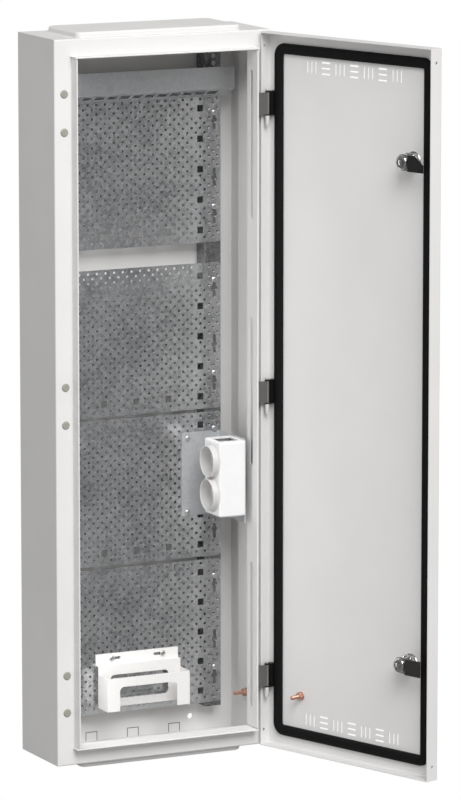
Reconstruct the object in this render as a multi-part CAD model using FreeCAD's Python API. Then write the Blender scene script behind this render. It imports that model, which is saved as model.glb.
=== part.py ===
import FreeCAD, Part
import math
import os

from FreeCAD import Vector

# Wall-mounted multimedia distribution box: a folded sheet-steel cabinet with
# a hinged door, a perforated plate system, a cable tray, a double socket
# outlet on a bracket and a folded holder for a small device.
#
# Frame: X to the right of someone facing the box, the front faces -Y, Z up.
# The origin is on the back face, at the centre of the four wall holes.
# All lengths are in millimetres.

# Cabinet shell
BOX_W = 324.0
BOX_H = 1000.0
BOX_D = 119.0
SHEET = 1.0
BEND_R = 1.0
HALF_W = BOX_W / 2
HALF_H = BOX_H / 2
INNER_X = HALF_W - SHEET

# Front frame: a flat flange, a collar folded forward and a return behind it
FLANGE_SIDE = 25.3
FLANGE_END = 23.2
COLLAR_OUT = 17.2
HEM_GAP = 0.2
RETURN_BACK = 15.0

# Long slots of the side returns, which take the lock cams
SLOT_W = 9.0
SLOT_L = 206.0
SLOT_PITCH = HALF_H - 157.5
SLOT_FROM_FRONT = 5.0
SLOT_COUNT = 3

# Wall fixing holes in the back
FIX_X = BOX_W - 132.0
FIX_Z = BOX_H - 42.0
FIX_R = 3.75

# Gland openings and their dished covers in the top and the bottom
GLAND_W = BOX_W - 78.0
GLAND_DEPTH = BOX_D - 15.0
GLAND_RISE = 7.5
GLAND_CORNER_R = 10.0
GLAND_EDGE_R = 3.5
GLAND_SHEET = 1.2
GLAND_LAP = 10.0
GLAND_FROM_BACK = 7.0

# C rails on the back wall
RAIL_STAND = 27.8
RAIL_SHEET = 1.5
RAIL_FACE_W = 24.2
RAIL_FOOT_W = 18.0
RAIL_OUTER_X = HALF_W - 31.4
RAIL_LEN = BOX_H - 78.0
RAIL_HOLE_R = 3.6
RAIL_HOLE_DROPS = (4.5, 14.5)

# Perforated mounting plates, stacked between a top and a bottom margin
PLATE_W = BOX_W - 64.4
PLATE_SHEET = 1.5
PLATE_CORNER_R = 5.0
PLATE_COUNT = 4
PLATE_GAP = 4.5
PLATE_FIRST_GAP = 28.5
PLATE_TOP_MARGIN = 97.0
PLATE_LOW_MARGIN = 45.5
PLATE_LOW_Z = PLATE_LOW_MARGIN - HALF_H
PLATE_SPAN = BOX_H - PLATE_TOP_MARGIN - PLATE_LOW_MARGIN
PLATE_H = (PLATE_SPAN - PLATE_FIRST_GAP - (PLATE_COUNT - 2) * PLATE_GAP) / PLATE_COUNT
WINDOW = 9.0
WINDOW_ROWS = 5
WINDOW_COLS = 5
WINDOW_PITCH_X = (PLATE_W - 2 * 31.2) / (WINDOW_COLS - 1)
WINDOW_PITCH_Z = (PLATE_H - 2 * 17.7) / (WINDOW_ROWS - 1)
KEYHOLE_X = HALF_W - 42.0
KEYHOLE_SLOT_W = 4.4
KEYHOLE_LEN = 27.5
KEYHOLE_DROPS = (36.0, PLATE_H - 90.0, PLATE_H - 38.0)
KEYHOLE_SCREWED = (True, False, True)

# Round-head screws
SCREW_R = 2.0
SCREW_PLAY = 0.2
SCREW_HEAD_R = 3.9
SCREW_HEAD_H = 2.6
SCREW_TAIL = 4.0

# Cable tray: rear flange on the rails, a slotted floor that rises to the front,
# and an upright front
TRAY_W = BOX_W - 50.0
TRAY_SHEET = 1.5
TRAY_REAR_Z = HALF_H - 99.6
TRAY_REAR_H = 35.0
TRAY_DEPTH = 27.4
TRAY_RISE = 14.4
TRAY_FRONT_H = 30.0
TRAY_SCREW_UP = 24.6
TRAY_SLOT_W = 14.0
TRAY_SLOT_L = 13.0
TRAY_SLOT_PITCH = 19.0
TRAY_SLOT_MARGIN = 14.0
TRAY_SLOT_SHIFT = -4.9
TRAY_SLOT_FORWARD = 15.0

# Double socket outlet on its angle bracket
BRACKET_SHEET = 2.0
BRACKET_BASE_W = 58.5
BRACKET_INSET = 2.3
BRACKET_REACH = 84.0
BRACKET_DROP = 27.2
BRACKET_H = 117.5
BRACKET_SCREW_SIDE = 9.0
BRACKET_SCREW_TOP = 8.3
BRACKET_SCREW_LOW = 4.7
BRACKET_SCREW_CLEAR = 0.8
SOCKET_W = 49.0
SOCKET_H = 105.5
SOCKET_T = 38.5
SOCKET_FROM_PLATE = 36.2
SOCKET_DROP = 1.8
SOCKET_EDGE_R = 3.0
SOCKET_WALL = 2.0
CUP_R = 22.6
CUP_PLAY = 0.2
CUP_STAND = 8.5
CUP_DEPTH = 17.5
CUP_PITCH = 46.6
CUP_WALL = 1.8
PIN_HOLE_R = 2.5
PIN_HOLE_PITCH = 19.0
ENTRY_W = 30.0
ENTRY_L = 29.0

# Device holder: a folded pocket of painted sheet
HOLDER_W = 126.0
HOLDER_X = -0.5
HOLDER_SHEET = 1.5
HOLDER_TOP_RISE = 84.5
HOLDER_FLANGE_H = 16.0
HOLDER_JOGGLE = 8.0
HOLDER_BACK_H = 58.0
HOLDER_DEPTH = 30.0
HOLDER_FRONT_DROP = 11.0
HOLDER_LEG_W = 19.0
HOLDER_BAR_H = 13.0
HOLDER_WINDOW_W = 89.0
HOLDER_WINDOW_H = 34.0
HOLDER_WINDOW_DROP = 12.8
HOLDER_WINDOW_R = 6.0
HOLDER_SCREW_X = 39.0
HOLDER_SLOT_LEN = 16.0

# Blanking plugs in the unused hinge holes of the left flange
PLUG_R = 5.8
PLUG_HEAD_H = 1.6
PLUG_STEM_R = 3.9
PLUG_STEM_L = 4.0
PLUG_HOLE_R = 4.0
PLUG_INSET = 14.5
PLUG_PITCH = 52.0

# Door; the return on the hinge side is shallower than the other three
DOOR_GAP = 1.85
DOOR_DEPTH = 21.5
DOOR_HINGE_DEPTH = 17.0
DOOR_HINGE_SLOPE = 5.0
DOOR_SHEET = 1.2
DOOR_BEND_R = 2.5
DOOR_REST_OPEN_DEG = 109.1
DOOR_OFF_FLANGE = 2.6
DOOR_HOLE_R = 2.1
DOOR_HOLE_INSET = 21.5
DOOR_HOLE_FORWARD = 13.0

# Foamed seal on the inner face of the door
SEAL_SQUEEZE_GAP = 0.3
SEAL_W = 14.5
SEAL_CORNER_R = 17.0
SEAL_SIDE_INSET = 2.8
SEAL_END_INSET = 6.1

# Vent slots of the door, in upright and level groups of three
VENT_INSET = 46.0
VENT_GROUP_PITCH = 26.4
VENT_GROUPS = 7
VENT_LEN = 16.5
VENT_W = 2.4
VENT_PITCH = 7.7

# Hinges
HINGE_Z = (HALF_H - 100.0, 0.0, 100.0 - HALF_H)
HINGE_AXIS_INSET = 10.0
HINGE_AXIS_FORWARD = 11.6
HINGE_BLOCK_H = 30.0
HINGE_FOOT_W = 5.0
HINGE_FOOT_CHAMFER = 0.1
HINGE_ARM_T = 2.4
HINGE_ARM_DROP = 0.6
HINGE_BARREL_R = 2.9
HINGE_PIN_R = 1.5
HINGE_BORE_R = 1.55
HINGE_EAR_T = 1.6
HINGE_EAR_GAP = 0.2
HINGE_EAR_R = 3.0
HINGE_FORK_W = 7.0
HINGE_FORK_CLEAR = 4.6
HINGE_PIN_HEAD_R = 2.6
HINGE_PIN_HEAD_H = 2.0
HINGE_TIP_R = 3.2
HINGE_TIP_END_R = 2.6
HINGE_TIP_L = 14.0

# Quarter-turn locks
LOCK_X = 51.0 - HALF_W
LOCK_Z = HALF_H - 157.0
LOCK_BODY_R = 9.0
LOCK_COLLAR_R = 13.0
LOCK_COLLAR_T = 6.0
LOCK_HEAD_R = 11.0
LOCK_HEAD_T = 3.0
LOCK_BODY_L = 19.6
LOCK_KEY_R = 5.0
LOCK_KEY_DEPTH = 5.0
CAM_T = 2.5
CAM_W = 22.0
CAM_REACH = 40.0
CAM_CRANK_AT = 13.0
CAM_SHOULDER = 8.0
CAM_TIP_H = 10.0
CAM_NOTCH = 4.0
CAM_CLEAR = 0.8
CAM_NUT_R = 10.0
CAM_NUT_H = 5.0
CAM_PLAY = 0.3

# Earth studs
STUD_R = 3.0
STUD_L = 20.0
STUD_NUT_AF = 10.0
STUD_NUT_T = 5.0
STUD_WASHER_R = 6.0
STUD_WASHER_T = 1.2
BODY_STUD_Y = -50.0
BODY_STUD_Z = 59.0 - HALF_H
DOOR_STUD_X = HALF_W - 66.0
DOOR_STUD_Z = 77.5 - HALF_H

# Sizes that follow from the ones above
COLLAR_X = HALF_W - FLANGE_SIDE
COLLAR_T = 2 * SHEET + HEM_GAP
COLLAR_FRONT_Y = -(BOX_D + COLLAR_OUT)
RETURN_Y = -(BOX_D - RETURN_BACK)
RAIL_FACE_Y = -(SHEET + RAIL_STAND)
PLATE_FACE_Y = RAIL_FACE_Y - PLATE_SHEET
TRAY_FACE_Y = RAIL_FACE_Y - PLATE_SHEET - TRAY_SHEET
SCREW_HOLE_R = SCREW_R + SCREW_PLAY
KEYHOLE_R = SCREW_HEAD_R + SCREW_PLAY
BRACKET_X = PLATE_W / 2 - BRACKET_INSET
HOLDER_TOP_Z = PLATE_LOW_Z + HOLDER_TOP_RISE
DOOR_RIM_Y = -(BOX_D + DOOR_OFF_FLANGE)
DOOR_FACE_Y = DOOR_RIM_Y - DOOR_DEPTH
DOOR_INNER_Y = DOOR_FACE_Y + DOOR_SHEET
DOOR_HALF_W = HALF_W - DOOR_GAP
DOOR_HALF_H = HALF_H - DOOR_GAP
HINGE_X = HALF_W - HINGE_AXIS_INSET
HINGE_Y = -(BOX_D + HINGE_AXIS_FORWARD)
FLANGE_BACK_Y = -(BOX_D - SHEET)
CAM_BACK_Y = FLANGE_BACK_Y + CAM_CLEAR + CAM_T
LOCK_END_Y = DOOR_INNER_Y + LOCK_BODY_L

X_AXIS = Vector(1, 0, 0)
Y_AXIS = Vector(0, 1, 0)
Z_AXIS = Vector(0, 0, 1)
NOWHERE = Vector(0, 0, 0)


def block(x, y, z):
    """A box from three (low, high) pairs."""
    low = Vector(min(x), min(y), min(z))
    return Part.makeBox(abs(x[1] - x[0]), abs(y[1] - y[0]), abs(z[1] - z[0]), low)


def rod(radius, start, direction, length):
    """A round bar from a start point along a direction."""
    return Part.makeCylinder(radius, length, start, direction)


def taper(r_start, r_end, start, direction, length):
    """A round taper from a start point along a direction."""
    return Part.makeCone(r_start, r_end, length, start, direction)


def fuse(shapes):
    """One solid out of several that touch or overlap."""
    whole = shapes[0]
    for shape in shapes[1:]:
        whole = whole.fuse(shape)
    return whole.removeSplitter()


def cut(shape, tools):
    """The shape less every tool."""
    if not tools:
        return shape
    return shape.cut(Part.makeCompound(tools))


def group(shapes):
    """Separate like pieces of one kind."""
    return Part.makeCompound(shapes)


def rounded_outline(half_w, half_h, radius):
    """A rectangle with round corners, in the XZ plane at y = 0."""
    line_ends = [
        (-half_w + radius, -half_h, half_w - radius, -half_h),
        (half_w, -half_h + radius, half_w, half_h - radius),
        (half_w - radius, half_h, -half_w + radius, half_h),
        (-half_w, half_h - radius, -half_w, -half_h + radius),
    ]
    centres = [
        (half_w - radius, -half_h + radius),
        (half_w - radius, half_h - radius),
        (-half_w + radius, half_h - radius),
        (-half_w + radius, -half_h + radius),
    ]
    diagonals = [(1, -1), (1, 1), (-1, 1), (-1, -1)]
    reach = radius / math.sqrt(2)
    edges = []
    for i in range(4):
        x0, z0, x1, z1 = line_ends[i]
        x2, z2 = line_ends[(i + 1) % 4][:2]
        cx, cz = centres[i]
        sx, sz = diagonals[i]
        middle = Vector(cx + sx * reach, 0, cz + sz * reach)
        edges.append(Part.LineSegment(Vector(x0, 0, z0), Vector(x1, 0, z1)).toShape())
        edges.append(Part.Arc(Vector(x1, 0, z1), middle, Vector(x2, 0, z2)).toShape())
    return Part.Wire(edges)


def rounded_plate(x, y, z, radius):
    """A flat plate in the XZ plane with round corners, from (low, high) pairs."""
    half_w = abs(x[1] - x[0]) / 2
    half_h = abs(z[1] - z[0]) / 2
    face = Part.Face(rounded_outline(half_w, half_h, radius))
    face.translate(Vector((x[0] + x[1]) / 2, min(y), (z[0] + z[1]) / 2))
    return face.extrude(Vector(0, abs(y[1] - y[0]), 0))


def folded_strip(points, radii, thickness):
    """The cross-section of a folded sheet, in the XY plane.

    The centre line runs through the points. Each inner corner gets an arc of
    the given centre-line radius, and the sheet lies half its thickness to
    each side.
    """
    spots = [Vector(p[0], p[1], 0) for p in points]
    runs = [(spots[i + 1] - spots[i]).normalize() for i in range(len(spots) - 1)]
    sides = {}
    for side in (1, -1):
        edges = []
        normal = Vector(-runs[0].y, runs[0].x, 0) * (side * thickness / 2)
        last = spots[0] + normal
        for i in range(1, len(spots) - 1):
            before, after = runs[i - 1], runs[i]
            turn = before.x * after.y - before.y * after.x
            hand = 1 if turn > 0 else -1
            angle = math.acos(max(-1.0, min(1.0, before.dot(after))))
            back = radii[i - 1] * math.tan(angle / 2)
            start = spots[i] - before * back
            end = spots[i] + after * back
            inward = Vector(-before.y, before.x, 0) * hand
            centre = start + inward * radii[i - 1]
            radius = radii[i - 1] - hand * side * thickness / 2
            first = centre - inward * radius
            inward_after = Vector(-after.y, after.x, 0) * hand
            second = centre - inward_after * radius
            middle = centre + (spots[i] - centre).normalize() * radius
            if (first - last).Length > 1e-6:
                edges.append(Part.LineSegment(last, first).toShape())
            edges.append(Part.Arc(first, middle, second).toShape())
            last = second
        normal = Vector(-runs[-1].y, runs[-1].x, 0) * (side * thickness / 2)
        tip = spots[-1] + normal
        if (tip - last).Length > 1e-6:
            edges.append(Part.LineSegment(last, tip).toShape())
        sides[side] = edges
    left, right = sides[1], sides[-1]
    start_cap = Part.LineSegment(right[0].Vertexes[0].Point, left[0].Vertexes[0].Point)
    end_cap = Part.LineSegment(left[-1].Vertexes[-1].Point, right[-1].Vertexes[-1].Point)
    loop = left + [end_cap.toShape()] + right[::-1] + [start_cap.toShape()]
    return Part.Face(Part.Wire(Part.__sortEdges__(loop)))


def frame_side(length, flange, slots):
    """One wall of the cabinet with its flange, collar and return.

    The wall's outer face is at x = 0, the inside is towards +X, and the
    length runs along Z. Both ends are cut at 45 degrees.
    """
    half = SHEET / 2
    collar_mid = flange + half
    return_mid = collar_mid + SHEET + HEM_GAP
    hem_r = (SHEET + HEM_GAP) / 2
    front = COLLAR_FRONT_Y + half
    points = [
        (half, 0),
        (half, -BOX_D + half),
        (collar_mid, -BOX_D + half),
        (collar_mid, front),
        (return_mid, front),
        (return_mid, RETURN_Y),
    ]
    bend = BEND_R + half
    section = folded_strip(points, [bend, bend, hem_r, hem_r], SHEET)
    section.translate(Vector(0, 0, -length / 2))
    wall = section.extrude(Vector(0, 0, length))
    inward = return_mid + half
    span = length / 2
    corners = [
        Vector(0, 1, -span),
        Vector(inward, 1, -span + inward),
        Vector(inward, 1, span - inward),
        Vector(0, 1, span),
    ]
    outline = Part.makePolygon(corners + corners[:1])
    keep = Part.Face(outline).extrude(Vector(0, COLLAR_FRONT_Y - 2, 0))
    wall = wall.common(keep)
    if slots:
        mid_y = FLANGE_BACK_Y + SLOT_FROM_FRONT - SLOT_W / 2
        low_x = collar_mid + half + HEM_GAP / 2
        wall = cut(wall, [return_slot(low_x, mid_y, i) for i in range(SLOT_COUNT)])
    return wall


def return_slot(x, y, index):
    """The cutter of one long slot with round ends through a return."""
    z = (index - (SLOT_COUNT - 1) / 2) * SLOT_PITCH
    radius = SLOT_W / 2
    straight = SLOT_L / 2 - radius
    reach = 2 * SHEET
    middle = block((x, x + reach), (y - radius, y + radius), (z - straight, z + straight))
    ends = [rod(radius, Vector(x, y, z + s * straight), X_AXIS, reach) for s in (-1, 1)]
    return fuse([middle] + ends)


def plug_holes(side):
    """Hole centres on one flange, a pair at each hinge height."""
    x = side * (HALF_W - PLUG_INSET)
    return [Vector(x, -BOX_D, z + s * PLUG_PITCH / 2) for z in HINGE_Z for s in (1, -1)]


def cabinet_walls():
    """The four folded walls, the mitred corners meeting face to face."""
    upright = frame_side(BOX_H, FLANGE_SIDE, True)
    level = frame_side(BOX_W, FLANGE_END, False)
    left = upright.copy()
    left.translate(Vector(-HALF_W, 0, 0))
    holes = [rod(PLUG_HOLE_R, p - Y_AXIS, Y_AXIS, SHEET + 2) for p in plug_holes(-1)]
    left = cut(left, holes)
    right = upright.copy()
    right.rotate(NOWHERE, Y_AXIS, 180)
    right.translate(Vector(HALF_W, 0, 0))
    low = level.copy()
    low.rotate(NOWHERE, Y_AXIS, -90)
    low.translate(Vector(0, 0, -HALF_H))
    high = level.copy()
    high.rotate(NOWHERE, Y_AXIS, 90)
    high.translate(Vector(0, 0, HALF_H))
    opening_y = (-GLAND_FROM_BACK - GLAND_LAP, -GLAND_FROM_BACK - GLAND_DEPTH + GLAND_LAP)
    opening_x = GLAND_W / 2 - GLAND_LAP
    mouth = block((-opening_x, opening_x), opening_y, (-HALF_H - 1, HALF_H + 1))
    mouth = mouth.makeFillet(GLAND_CORNER_R, upright_edges(mouth, Z_AXIS))
    return left, right, cut(high, [mouth]), cut(low, [mouth])


def upright_edges(solid, direction):
    """The straight edges of a box that run along a direction."""
    picked = []
    for edge in solid.Edges:
        run = edge.tangentAt(edge.FirstParameter)
        if abs(abs(run.dot(direction)) - 1) < 1e-6:
            picked.append(edge)
    return picked


def back_wall():
    """The back sheet, set between the four walls, with its wall holes."""
    sheet = block((-INNER_X, INNER_X), (-SHEET, 0), (-HALF_H + SHEET, HALF_H - SHEET))
    holes = []
    for sx in (-1, 1):
        for sz in (-1, 1):
            start = Vector(sx * FIX_X / 2, -SHEET - 1, sz * FIX_Z / 2)
            holes.append(rod(FIX_R, start, Y_AXIS, SHEET + 2))
    return cut(sheet, holes)


def gland_cover(top):
    """A dished cover: a shallow pan with round corners and edges, open inside."""
    half_w = GLAND_W / 2
    y = (-GLAND_FROM_BACK, -GLAND_FROM_BACK - GLAND_DEPTH)
    base = block((-half_w, half_w), y, (HALF_H, HALF_H + GLAND_RISE))
    base = base.makeFillet(GLAND_CORNER_R, upright_edges(base, Z_AXIS))
    rim = [e for e in base.Edges if e.BoundBox.ZMin > HALF_H + GLAND_RISE - 0.01]
    base = base.makeFillet(GLAND_EDGE_R, rim)
    wall = GLAND_SHEET
    inner_y = (y[0] - wall, y[1] + wall)
    inner_z = (HALF_H - 1, HALF_H + GLAND_RISE - wall)
    hollow = block((-half_w + wall, half_w - wall), inner_y, inner_z)
    hollow = hollow.makeFillet(GLAND_CORNER_R - wall, upright_edges(hollow, Z_AXIS))
    rim = [e for e in hollow.Edges if e.BoundBox.ZMin > inner_z[1] - 0.01]
    hollow = hollow.makeFillet(GLAND_EDGE_R - wall, rim)
    cover = base.cut(hollow)
    if not top:
        cover.rotate(Vector(0, (y[0] + y[1]) / 2, 0), Y_AXIS, 180)
    return cover


def plate_tops():
    """Top edge heights of the mounting plates, from the highest down."""
    tops = []
    for i in range(PLATE_COUNT):
        rise = PLATE_LOW_Z + (PLATE_COUNT - i) * PLATE_H + (PLATE_COUNT - 1 - i) * PLATE_GAP
        if i == 0:
            rise += PLATE_FIRST_GAP - PLATE_GAP
        tops.append(rise)
    return tops


def plate_screw_points():
    """Where the screws hold the plates to the rails, at the tops of keyholes."""
    rise = KEYHOLE_LEN / 2 - SCREW_HOLE_R
    points = []
    for top in plate_tops():
        for drop, screwed in zip(KEYHOLE_DROPS, KEYHOLE_SCREWED):
            if screwed:
                z = top - drop + rise
                points += [Vector(side * KEYHOLE_X, PLATE_FACE_Y, z) for side in (-1, 1)]
    return points


def tray_screw_points():
    """Where the screws hold the cable tray to the rails."""
    z = TRAY_REAR_Z + TRAY_SCREW_UP
    return [Vector(side * KEYHOLE_X, TRAY_FACE_Y, z) for side in (-1, 1)]


def rail(side):
    """A C rail: foot on the back wall, web forward, face outward over the foot."""
    half = RAIL_SHEET / 2
    web_x = RAIL_OUTER_X - RAIL_FACE_W + half
    foot_end = web_x - half + RAIL_FOOT_W
    points = [
        (foot_end, -SHEET - half),
        (web_x, -SHEET - half),
        (web_x, RAIL_FACE_Y + half),
        (RAIL_OUTER_X, RAIL_FACE_Y + half),
    ]
    bend = BEND_R + half
    section = folded_strip(points, [bend, bend], RAIL_SHEET)
    section.translate(Vector(0, 0, -RAIL_LEN / 2))
    body = section.extrude(Vector(0, 0, RAIL_LEN))
    holes = []
    for p in plate_screw_points() + tray_screw_points():
        if p.x > 0:
            start = Vector(KEYHOLE_X, RAIL_FACE_Y - 1, p.z)
            holes.append(rod(SCREW_HOLE_R, start, Y_AXIS, RAIL_SHEET + 2))
    for drop in RAIL_HOLE_DROPS:
        start = Vector(KEYHOLE_X, RAIL_FACE_Y - 1, RAIL_LEN / 2 - drop)
        holes.append(rod(RAIL_HOLE_R, start, Y_AXIS, RAIL_SHEET + 2))
    body = cut(body, holes)
    if side < 0:
        body = body.mirror(NOWHERE, X_AXIS)
    return body


def keyhole(x, z, y):
    """Cutter: an upright slot with a round entry for a screw head at its middle."""
    depth = PLATE_SHEET + 2
    slot = level_slot(x, z, y, KEYHOLE_LEN, KEYHOLE_SLOT_W, depth, True)
    return fuse([slot, rod(KEYHOLE_R, Vector(x, y, z), Y_AXIS, depth)])


def level_slot(x, z, y, length, width, depth, upright):
    """Cutter: a slot with round ends through a sheet that faces -Y."""
    half = width / 2
    run = length / 2 - half
    dx, dz = (half, run) if upright else (run, half)
    middle = block((x - dx, x + dx), (y, y + depth), (z - dz, z + dz))
    ends = []
    for s in (-1, 1):
        cx = x if upright else x + s * run
        cz = z + s * run if upright else z
        ends.append(rod(half, Vector(cx, y, cz), Y_AXIS, depth))
    return fuse([middle] + ends)


def mounting_plate(top):
    """A flat plate with two keyhole columns and square windows.

    The windows stand in a column near each side and in a row along the bottom.
    """
    half_w = PLATE_W / 2
    y = (PLATE_FACE_Y, PLATE_FACE_Y + PLATE_SHEET)
    plate = rounded_plate((-half_w, half_w), y, (top - PLATE_H, top), PLATE_CORNER_R)
    start = PLATE_FACE_Y - 1
    middle_z = top - PLATE_H / 2
    tools = []
    for row in range(WINDOW_ROWS):
        z = middle_z + (row - (WINDOW_ROWS - 1) / 2) * WINDOW_PITCH_Z
        for col in range(WINDOW_COLS):
            if row > 0 and 0 < col < WINDOW_COLS - 1:
                continue
            x = (col - (WINDOW_COLS - 1) / 2) * WINDOW_PITCH_X
            half = WINDOW / 2
            depth = (start, start + PLATE_SHEET + 2)
            tools.append(block((x - half, x + half), depth, (z - half, z + half)))
    for side in (-1, 1):
        for drop in KEYHOLE_DROPS:
            tools.append(keyhole(side * KEYHOLE_X, top - drop, start))
    for p in bracket_screw_points() + holder_screw_points():
        if top - PLATE_H < p.z < top:
            tools.append(rod(SCREW_HOLE_R, Vector(p.x, start, p.z), Y_AXIS, PLATE_SHEET + 2))
    return cut(plate, tools)


def round_screw(point, direction, grip):
    """A screw whose domed head sits on a face; direction points into the part."""
    out = direction * -1
    head = rod(SCREW_HEAD_R, point, out, SCREW_HEAD_H * 0.55)
    crown_start = point + out * SCREW_HEAD_H * 0.55
    crown = taper(SCREW_HEAD_R, SCREW_HEAD_R * 0.55, crown_start, out, SCREW_HEAD_H * 0.45)
    shank = rod(SCREW_R, point, direction, grip + SCREW_TAIL)
    return fuse([head, crown, shank])


def cable_tray():
    """A folded tray, slotted for cable ties, lapping over the upper plate's edge."""
    half = TRAY_SHEET / 2
    rear_y = TRAY_FACE_Y + half
    front_y = rear_y - TRAY_DEPTH
    front_z = TRAY_REAR_Z + TRAY_RISE
    points = [
        (rear_y, TRAY_REAR_Z + TRAY_REAR_H),
        (rear_y, TRAY_REAR_Z),
        (front_y, front_z),
        (front_y, front_z + TRAY_FRONT_H),
    ]
    bend = BEND_R + half
    section = folded_strip(points, [bend, bend], TRAY_SHEET)
    section.rotate(NOWHERE, Vector(1, 1, 1), 120)
    section.translate(Vector(-TRAY_W / 2, 0, 0))
    body = section.extrude(Vector(TRAY_W, 0, 0))
    tools = []
    count = int((TRAY_W - 2 * TRAY_SLOT_MARGIN - TRAY_SLOT_W) / TRAY_SLOT_PITCH) + 1
    mid_y = rear_y - TRAY_SLOT_FORWARD
    y = (mid_y - TRAY_SLOT_L / 2, mid_y + TRAY_SLOT_L / 2)
    for i in range(count):
        x = (i - (count - 1) / 2) * TRAY_SLOT_PITCH + TRAY_SLOT_SHIFT
        w = TRAY_SLOT_W / 2
        tools.append(block((x - w, x + w), y, (TRAY_REAR_Z - 2, front_z + 2)))
    for p in tray_screw_points():
        tools.append(rod(SCREW_HOLE_R, p - Y_AXIS, Y_AXIS, TRAY_SHEET + 2))
    return cut(body, tools)


def socket_bracket():
    """An angle bracket: base on a mounting plate, upright at the cabinet side."""
    half = BRACKET_SHEET / 2
    base_y = PLATE_FACE_Y - half
    upright_x = BRACKET_X - half
    top = bracket_top()
    points = [
        (BRACKET_X - BRACKET_BASE_W, base_y),
        (upright_x, base_y),
        (upright_x, PLATE_FACE_Y - BRACKET_REACH),
    ]
    section = folded_strip(points, [BEND_R + half], BRACKET_SHEET)
    section.translate(Vector(0, 0, top - BRACKET_H))
    body = section.extrude(Vector(0, 0, BRACKET_H))
    tools = []
    for p in bracket_screw_points():
        tools.append(rod(SCREW_HOLE_R, p - Y_AXIS, Y_AXIS, BRACKET_SHEET + 2))
    start_y = PLATE_FACE_Y - BRACKET_SHEET - 1
    for p in plate_screw_points():
        if p.x > 0:
            start = Vector(p.x, start_y, p.z)
            tools.append(rod(SCREW_HEAD_R + BRACKET_SCREW_CLEAR, start, Y_AXIS, BRACKET_SHEET + 2))
    return cut(body, tools)


def bracket_top():
    """Height of the bracket's upper edge, on the third mounting plate."""
    return plate_tops()[2] - BRACKET_DROP


def bracket_screw_points():
    """Where two screws hold the free edge of the bracket's base."""
    x = BRACKET_X - BRACKET_BASE_W + BRACKET_SCREW_SIDE
    y = PLATE_FACE_Y - BRACKET_SHEET
    top = bracket_top()
    heights = (top - BRACKET_SCREW_TOP, top - BRACKET_H + BRACKET_SCREW_LOW)
    return [Vector(x, y, z) for z in heights]


def socket_box():
    """Low and high corners of the socket outlet."""
    back_x = BRACKET_X - BRACKET_SHEET
    near_y = PLATE_FACE_Y - SOCKET_FROM_PLATE
    top = bracket_top() - SOCKET_DROP
    low = (back_x - SOCKET_T, near_y - SOCKET_W, top - SOCKET_H)
    high = (back_x, near_y, top)
    return low, high


def cup_centres():
    """Centres of the two round sockets on the outlet's face."""
    low, high = socket_box()
    y = (low[1] + high[1]) / 2
    z = (low[2] + high[2]) / 2
    return [Vector(low[0], y, z + s * CUP_PITCH / 2) for s in (1, -1)]


def socket_housing():
    """A moulded housing with round edges, hollow, with two openings for the cups."""
    low, high = socket_box()
    x, y, z = [(low[i], high[i]) for i in range(3)]
    body = block(x, y, z)
    rounded = []
    for edge in body.Edges:
        if edge.BoundBox.XMax < high[0] - 0.01:
            rounded.append(edge)
        elif abs(edge.tangentAt(edge.FirstParameter).dot(X_AXIS)) > 0.99:
            rounded.append(edge)
    body = body.makeFillet(SOCKET_EDGE_R, rounded)
    wall = SOCKET_WALL
    inner_x = (low[0] + wall, high[0] + 1)
    inner_y = (low[1] + wall, high[1] - wall)
    hollow = block(inner_x, inner_y, (low[2] + wall, high[2] - wall))
    tools = [hollow]
    for c in cup_centres():
        tools.append(rod(CUP_R + CUP_PLAY, c - X_AXIS, X_AXIS, SOCKET_T / 2))
    mid_x = (low[0] + high[0]) / 2
    mid_y = (low[1] + high[1]) / 2
    entry_x = (mid_x - ENTRY_L / 2, mid_x + ENTRY_L / 2)
    entry_y = (mid_y - ENTRY_W / 2, mid_y + ENTRY_W / 2)
    tools.append(block(entry_x, entry_y, (high[2] - wall - 1, high[2] + 1)))
    return cut(body, tools)


def socket_cup(centre):
    """One round socket: a cup that stands out as a collar, two pin holes in its floor."""
    mouth = centre - X_AXIS * CUP_STAND
    outer = rod(CUP_R, mouth, X_AXIS, CUP_DEPTH + CUP_WALL)
    hollow = rod(CUP_R - CUP_WALL, mouth - X_AXIS, X_AXIS, CUP_DEPTH + 1)
    floor = mouth + X_AXIS * (CUP_DEPTH - 1)
    tools = [hollow]
    for s in (-1, 1):
        start = floor + Y_AXIS * (s * PIN_HOLE_PITCH / 2)
        tools.append(rod(PIN_HOLE_R, start, X_AXIS, CUP_WALL + 2))
    return cut(outer, tools)


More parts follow.
